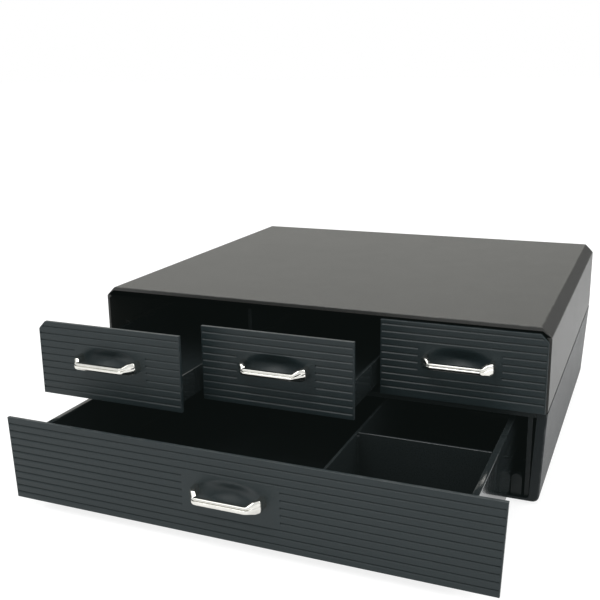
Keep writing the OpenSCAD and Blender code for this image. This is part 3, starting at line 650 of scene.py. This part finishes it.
def plateMesh(drawer, s):
    node = drawer + "_front"
    tier = "lower" if drawer == "lower" else "upper"
    lo, hi = (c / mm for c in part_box(node))
    outline = faceOutline(node)
    outline[outline[:, 1] > (lo.z + hi.z) / 2, 1] -= s["topTrim"][drawer]
    bottom, top = lo.z, hi.z - s["topTrim"][drawer]
    pitch, first = s["pitch"][tier], bottom + s["firstGroove"][drawer]
    rise = pitch * s["dishRows"] - s["dishBelow"]
    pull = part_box(drawer + "_pull")
    midX, midZ = (pull[0].x + pull[1].x) / 2 / mm, (lo.z + hi.z) / 2
    rim = np.array([0, 0.03, 0.1, 0.2, 0.3, 1.0])
    marks = [*(bottom + rim), *(top - rim)]
    turns = [s[k] for k in ("chamferFrom", "wallFrom", "floorFrom", "floorTo", "wallTo")]
    turns = [turns[0] - s["turnMargin"], *turns, turns[-1] + s["turnMargin"]]
    for k in range(s["bands"][tier] - 1):
        marks += [first + k * pitch + turn for turn in turns]
    rows = ticks(marks, s["step"])
    half = s["patchWidth"][tier] / 2
    squeeze, span = s["squeeze"], s["dishSpan"]
    side = np.array([0, 0.03, 0.1, 0.2, 0.3, 0.8, 1.0, 1.2, 1.6, 2.2, squeeze])
    marks = [*(lo.x + side), *(hi.x - side)]
    marks += [midX + f * half + o for f in (-1, 1) for o in (-0.4, -0.15, 0.15, 0.4)]
    marks += [midX - span, midX + span]
    columns = ticks(marks, lambda a, b: s["dishStep"] if abs((a + b) / 2 - midX) < span else s["wideStep"])
    x, z = np.meshgrid(columns, rows)
    for i, level in enumerate(rows):
        left, right = widthAt(outline, level)
        a, b = lo.x + squeeze, hi.x - squeeze
        near, far = x[i] < a, x[i] > b
        x[i] = np.where(near, left + (x[i] - lo.x) / squeeze * (a - left), x[i])
        x[i] = np.where(far, right - (hi.x - x[i]) / squeeze * (right - b), x[i])
    distance = edgeDistance(outline, x, z)
    face = lo.y + roundOff(distance, s["edge"]) + dishDepth(x - midX, z - midZ, s, rise, 0)
    bulge = dishDepth(x - midX, z - midZ, s, rise, s["dishShell"])
    flat = s["thickness"] - roundOff(distance, s["backEdge"])
    back = lo.y + np.maximum(flat, np.where(bulge > 0.01, bulge + s["dishShell"], 0))
    n, m = x.shape
    points = np.concatenate([np.stack([x, y, z], -1).reshape(-1, 3) for y in (face, back)])
    f = np.arange(n * m).reshape(n, m)
    b = f + n * m
    quads = [np.stack([f[:-1, :-1], f[:-1, 1:], f[1:, 1:], f[1:, :-1]], -1).reshape(-1, 4),
             np.stack([b[:-1, :-1], b[1:, :-1], b[1:, 1:], b[:-1, 1:]], -1).reshape(-1, 4),
             np.stack([b[0, :-1], b[0, 1:], f[0, 1:], f[0, :-1]], -1),
             np.stack([f[-1, :-1], f[-1, 1:], b[-1, 1:], b[-1, :-1]], -1),
             np.stack([b[:-1, 0], f[:-1, 0], f[1:, 0], b[1:, 0]], -1),
             np.stack([f[:-1, -1], b[:-1, -1], b[1:, -1], f[1:, -1]], -1)]
    mesh = bpy.data.meshes.new(node)
    mesh.from_pydata((points * mm).tolist(), [], np.concatenate(quads).tolist())
    both = np.concatenate([distance.ravel(), distance.ravel()])
    for name, values in (("skin", np.repeat([1.0, 0.0], n * m)), ("edgeDistance", both * mm),
                         ("edgeWear", np.clip(1 - both / s["edge"], 0, 1))):
        mesh.attributes.new(name, "FLOAT", "POINT").data.foreach_set("value", values.astype(np.float32))
    sizes = {"Bottom": (first - pitch) * mm, "Spacing": pitch * mm, "Count": float(s["bands"][tier]),
             "Chamfer from": s["chamferFrom"] * mm, "Wall from": s["wallFrom"] * mm,
             "Floor from": s["floorFrom"] * mm, "Floor to": s["floorTo"] * mm,
             "Wall to": s["wallTo"] * mm, "Chamfer depth": s["chamferDepth"] * mm,
             "Groove depth": s["grooveDepth"][drawer] * mm, "Margin": s["margin"] * mm,
             "Patch x": midX * mm, "Patch z": midZ * mm, "Patch half width": half * mm,
             "Patch half height": s["patchRows"][tier] * pitch * mm}
    return mesh, sizes


def newTree(name, inputs):
    tree = bpy.data.node_groups.new(name, "GeometryNodeTree")
    tree.interface.new_socket("Geometry", in_out="INPUT", socket_type="NodeSocketGeometry")
    for label, kind in inputs:
        tree.interface.new_socket(label, in_out="INPUT", socket_type=kind)
    tree.interface.new_socket("Geometry", in_out="OUTPUT", socket_type="NodeSocketGeometry")
    t = Tree(tree)
    return t, t.node("NodeGroupInput").outputs


def closeTree(t, shape, paint):
    real = t.node("GeometryNodeRealizeInstances", {0: shape}).outputs[0]
    painted = t.node("GeometryNodeSetMaterial", {"Geometry": real, "Material": paint}).outputs[0]
    t.node("NodeGroupOutput", {0: painted})


def runTree(mesh, t, values):
    def add(holder):
        modifier = holder.modifiers.new(t.tree.name, "NODES")
        modifier.node_group = t.tree
        for item in t.tree.interface.items_tree:
            if item.in_out == "INPUT" and item.name in values:
                modifier[item.identifier] = values[item.name]
    return evaluated(mesh, add)


def grooveTree():
    blur = 0.0002                                     # a groove runs out over this to either side
    labels = ("Bottom", "Spacing", "Count", "Chamfer from", "Wall from", "Floor from", "Floor to",
              "Wall to", "Chamfer depth", "Groove depth", "Margin", "Patch x", "Patch z",
              "Patch half width", "Patch half height")
    t, given = newTree("frontGrooves", [(label, "NodeSocketFloat") for label in labels]
                       + [("Paint", "NodeSocketMaterial")])
    spot = t.node("ShaderNodeSeparateXYZ", {0: t.node("GeometryNodeInputPosition").outputs[0]}).outputs
    edge, skin = (t.node("GeometryNodeInputNamedAttribute", {"Name": name}, data_type="FLOAT").outputs[0]
                  for name in ("edgeDistance", "skin"))
    line = t.math("DIVIDE", t.math("SUBTRACT", spot["Z"], given["Bottom"]), given["Spacing"])
    nearest = t.math("ROUND", line)
    above = t.math("MULTIPLY", t.math("SUBTRACT", line, nearest), given["Spacing"])
    chamfer = t.fade(above, given["Chamfer from"], given["Wall from"], 0.0, given["Chamfer depth"], "LINEAR")
    slot = t.fade(above, given["Wall from"], given["Floor from"], 0.0, given["Groove depth"], "LINEAR")
    upper = t.fade(above, given["Floor to"], given["Wall to"], 1.0, 0.0, "LINEAR")
    counted = t.math("MULTIPLY", t.math("GREATER_THAN", nearest, 0.5),
                     t.math("LESS_THAN", nearest, t.math("SUBTRACT", given["Count"], 0.5)))
    margin = t.fade(edge, t.math("SUBTRACT", given["Margin"], blur), t.math("ADD", given["Margin"], blur))
    besideX = t.math("SUBTRACT", t.math("ABSOLUTE", t.math("SUBTRACT", spot["X"], given["Patch x"])),
                     given["Patch half width"])
    outX = t.fade(besideX, -blur, blur)
    lineZ = t.math("ADD", t.math("MULTIPLY", nearest, given["Spacing"]), given["Bottom"])
    besideZ = t.math("SUBTRACT", t.math("ABSOLUTE", t.math("SUBTRACT", lineZ, given["Patch z"])),
                     given["Patch half height"])
    kept = t.math("MAXIMUM", outX, t.math("GREATER_THAN", besideZ, 0.0))
    depth = t.math("MAXIMUM", chamfer, slot)
    for factor in (upper, counted, margin, kept, skin):
        depth = t.math("MULTIPLY", depth, factor)
    offset = t.node("ShaderNodeCombineXYZ", {"Y": depth}).outputs[0]
    shape = t.node("GeometryNodeSetPosition", {"Geometry": given["Geometry"], "Offset": offset}).outputs[0]
    closeTree(t, shape, given["Paint"])
    return t


grooves = grooveTree()


def buildFront(drawer):
    mesh, sizes = plateMesh(drawer, frontSetup)
    mesh = runTree(mesh, grooves, {**sizes, "Paint": paints["front_plastic"]})
    smoothMesh(mesh, 30)
    placePiece(drawer + "_front_plate", mesh, "front_plastic", [drawer + "_front"],
               evenNormals=False)


for drawer in drawers:
    buildFront(drawer)
print("fronts are grooved")


# pulls: a stepped bar swept round a bent path
pullSetup = {
    "root": 25.5, "knee": 6.5, "half": 19.4, "out": 14.5, "kneeRadius": 1.4, "bendRadius": 3.0,
    "sunk": 0.2, "tall": 2.5, "growFrom": 14.2, "growTo": 9.4, "up": 2.3, "down": 1.7,
    "grooveFoot": 0.8, "grooveEnd": 1.8, "turnSteps": 10, "span": 1.6, "barSpans": 12,
}
# (outward, up) from the bar's middle: a thin upper strip, a fine groove, then the bowed lower face
pullProfile = [(-1.5, 2.5), (-0.3, 2.5), (0.9, 2.44), (1.2, 2.3), (1.7, 1.5), (1.72, 1.3), (0.8, 1.15),
               (0.8, 0.55), (1.75, 0.4), (1.92, 0.25), (2.0, 0.0), (2.0, -0.6), (1.93, -1.3), (1.72, -1.95),
               (1.35, -2.36), (0.8, -2.5), (-1.2, -2.5), (-1.7, -2.3), (-1.95, -1.9), (-2.0, -1.3),
               (-2.0, 1.3), (-1.95, 1.9), (-1.75, 2.3)]


def bentPath(s):
    corners = [(s["root"], -s["sunk"]), (s["root"], s["knee"]), (s["half"], s["out"]),
               (-s["half"], s["out"]), (-s["root"], s["knee"]), (-s["root"], -s["sunk"])]
    radii = [0, s["kneeRadius"], s["bendRadius"], s["bendRadius"], s["kneeRadius"], 0]
    path = [Vector(corners[0])]
    for k in range(1, len(corners) - 1):
        before, here, after = (Vector(corners[k + o]) for o in (-1, 0, 1))
        a, b = (before - here).normalized(), (after - here).normalized()
        turn = math.pi - a.angle(b)
        reach = radii[k] * math.tan(turn / 2)
        start, end = here + a * reach, here + b * reach
        centre = here + (a + b).normalized() * (radii[k] / math.cos(turn / 2))
        steps = s["turnSteps"]
        lead = (start - path[-1]).length
        alongBar = k == 3
        spans = s["barSpans"] if alongBar else max(1, round(lead / s["span"]))
        path += [path[-1].lerp(start, i / spans) for i in range(1, spans)]
        for i in range(steps + 1):
            swing = (start - centre).normalized().slerp((end - centre).normalized(), i / steps)
            path.append(centre + swing * radii[k])
    last = Vector(corners[-1])
    path += [path[-1].lerp(last, i / 3) for i in (1, 2, 3)]
    return path


def buildPull(drawer, s):
    node = drawer + "_pull"
    lo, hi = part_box(node)
    middle = Vector(((lo.x + hi.x) / 2, hi.y, (lo.z + hi.z) / 2 - (s["up"] - s["down"]) / 2 * mm))
    path = bentPath(s)
    bm = bmesh.new()
    rings = []
    for k, here in enumerate(path):
        along = (path[min(k + 1, len(path) - 1)] - path[max(k - 1, 0)]).normalized()
        outward = Vector((along.y, -along.x))
        grow = min(1, max(0, (s["growFrom"] - here.y) / (s["growFrom"] - s["growTo"])))
        ring = []
        for v, z in pullProfile:
            inGroove = v == s["grooveFoot"] and z > 0         # the groove runs out along the arm
            p = here + outward * (v + (s["grooveEnd"] - v) * grow if inGroove else v)
            stretch = (s["tall"] + grow * (s["up"] if z > 0 else s["down"])) / s["tall"]
            ring.append(bm.verts.new(middle + Vector((p.x, -p.y, z * stretch)) * mm))
        rings.append(ring)
    count = len(pullProfile)
    for a, b in zip(rings, rings[1:]):
        for j in range(count):
            n = (j + 1) % count
            bm.faces.new((a[j], a[n], b[n], b[j]))
    bm.faces.new(rings[0])
    bm.faces.new(list(reversed(rings[-1])))
    bmesh.ops.recalc_face_normals(bm, faces=bm.faces)
    mesh = meshFrom(node, bm)
    smoothMesh(mesh, 32)
    placePiece(node + "_bar", mesh, "pull_chrome", [node], evenNormals=False)


for drawer in drawers:
    buildPull(drawer, pullSetup)
print("pulls are bent")


# screws and feet, set on their points by one geometry tree
screwSetup = {
    "head": 1.6, "recess": 0.62, "recessWidth": 0.2, "recessDepth": 0.6, "shank": 0.5, "point": 0.5,
    "sides": 28, "seed": 4,
}
footSetup = {
    "rim": 0.6, "grooveRadii": (0.42, 0.62, 0.82), "grooveHalf": (0.4, 0.25), "grooveDepth": 0.35,
    "softBack": 0.2, "stem": 2.45, "stemHeight": 2.5, "sides": 48, "seed": 1,
}


def latheMesh(name, profile, sides):
    # profile is (radius, height) from the axis at the top round to the axis below
    bm = bmesh.new()
    rings = []
    for radius, height in profile:
        if radius < 1e-9:
            rings.append([bm.verts.new((0, 0, height))])
        else:
            rings.append([bm.verts.new((radius * math.cos(2 * math.pi * k / sides),
                                        radius * math.sin(2 * math.pi * k / sides), height))
                          for k in range(sides)])
    for a, b in zip(rings, rings[1:]):
        for k in range(sides):
            n = (k + 1) % sides
            corners = [a[k % len(a)], b[k % len(b)], b[n % len(b)], a[n % len(a)]]
            bm.faces.new(list(dict.fromkeys(corners)))
    bmesh.ops.recalc_face_normals(bm, faces=bm.faces)
    return meshFrom(name, bm)


def crossHeadScrew(radius, length, s):
    head, shank = s["head"] * mm, radius * s["shank"]
    dome = [(0, 0), (radius * 0.35, -head * 0.03), (radius * 0.65, -head * 0.12),
            (radius * 0.86, -head * 0.3), (radius * 0.97, -head * 0.55), (radius, -head * 0.85),
            (radius, -head)]
    body = [(shank, -head), (shank, -length + s["point"] * mm), (shank * 0.6, -length), (0, -length)]
    mesh = latheMesh("screw", dome + body, s["sides"])
    reach, wide = radius * s["recess"] / mm, radius * s["recessWidth"] / mm / 2
    deep = -head * s["recessDepth"] / mm
    cross = [((-reach, -wide, deep), (reach, wide, 1)), ((-wide, -reach, deep), (wide, reach, 1))]
    return joinSolids(mesh, [], cross)


def rubberFoot(radius, height, s):
    top = [(0, 0), (radius * 0.3, 0)]
    wide, narrow = (half * mm for half in s["grooveHalf"])
    deep = s["grooveDepth"] * mm
    for share in s["grooveRadii"]:
        r = radius * share
        top += [(r - wide, 0), (r - narrow, -deep), (r + narrow, -deep), (r + wide, 0)]
    soft, back = s["rim"] * mm, s["softBack"] * mm
    stem, stemHeight = s["stem"] * mm, s["stemHeight"] * mm
    side = [(radius - soft, 0), (radius - soft * 0.3, -soft * 0.3), (radius, -soft),
            (radius, -height + back), (radius - back, -height), (stem, -height),
            (stem, -height - stemHeight), (0, -height - stemHeight)]
    return latheMesh("foot", top + side, s["sides"])


def settingTree():
    t, given = newTree("setOnPoints", [("Shape", "NodeSocketObject"), ("Tilt", "NodeSocketRotation"),
                                       ("Seed", "NodeSocketInt"), ("Paint", "NodeSocketMaterial")])
    shape = t.node("GeometryNodeObjectInfo", {"Object": given["Shape"]}, transform_space="ORIGINAL")
    put = t.node("GeometryNodeInstanceOnPoints", {"Points": given["Geometry"],
                                                  "Instance": shape.outputs["Geometry"],
                                                  "Rotation": given["Tilt"]}).outputs[0]
    spin = t.node("FunctionNodeRandomValue", {2: 0.0, 3: math.pi, "Seed": given["Seed"]},
                  data_type="FLOAT").outputs[1]
    turn = t.node("ShaderNodeCombineXYZ", {"Z": spin}).outputs[0]
    put = t.node("GeometryNodeRotateInstances", {"Instances": put, "Rotation": turn}).outputs[0]
    closeTree(t, put, given["Paint"])
    return t


settings = settingTree()


def islands(node):
    bm = bmesh.new()
    bm.from_mesh(frame["nodes"][node].data)
    bmesh.ops.remove_doubles(bm, verts=bm.verts, dist=weld)
    left, found = set(bm.verts), []
    while left:
        group, todo = set(), [left.pop()]
        while todo:
            v = todo.pop()
            group.add(v)
            for e in v.link_edges:
                other = e.other_vert(v)
                if other in left:
                    left.discard(other)
                    todo.append(other)
        points = np.array([v.co for v in group])
        found.append((points.min(0), points.max(0)))
    bm.free()
    return found


def setOnPoints(node, name, slot, template, points, tilt, seed):
    shape = bpy.data.objects.new("template", template)
    cloud = bpy.data.meshes.new("points")
    cloud.from_pydata([tuple(p) for p in points], [], [])
    mesh = runTree(cloud, settings, {"Shape": shape, "Tilt": tilt, "Seed": seed, "Paint": paints[slot]})
    bpy.data.objects.remove(shape)
    smoothMesh(mesh, 35)
    placePiece(name, mesh, slot, [node], evenNormals=False)


def setScrews(node, axis, seed):
    boxes = islands(node)
    lo, hi = boxes[0]
    others = [i for i in range(3) if i != axis]
    radius = float(hi[others[0]] - lo[others[0]]) / 2
    template = crossHeadScrew(radius, float(hi[axis] - lo[axis]), screwSetup)
    points = []
    for lo, hi in boxes:
        p = (lo + hi) / 2
        p[axis] = hi[axis]
        points.append(p)
    tilt = (0, 0, 0) if axis == 2 else (-math.pi / 2, 0, 0)
    setOnPoints(node, node + "_set", "screw_steel", template, points, tilt, seed)


screwNodes = {"case_screws": 2, "back_screws": 1}
for drawer in drawers:
    screwNodes[drawer + "_pull_screws"] = 1
    screwNodes[drawer + "_tray_screws"] = 1
for k, (node, axis) in enumerate(screwNodes.items()):
    setScrews(node, axis, screwSetup["seed"] + k)

feet = islands("rubber_feet")
footLo, footHi = feet[0]
footRadius = float(footHi[0] - footLo[0]) / 2
footHeight = float(footHi[2] - footLo[2]) - footSetup["stemHeight"] * mm
setOnPoints("rubber_feet", "rubber_feet_set", "foot_rubber", rubberFoot(footRadius, footHeight, footSetup),
            [((lo[0] + hi[0]) / 2, (lo[1] + hi[1]) / 2, lo[2]) for lo, hi in feet], (math.pi, 0, 0),
            footSetup["seed"])
print("screws and feet are set")
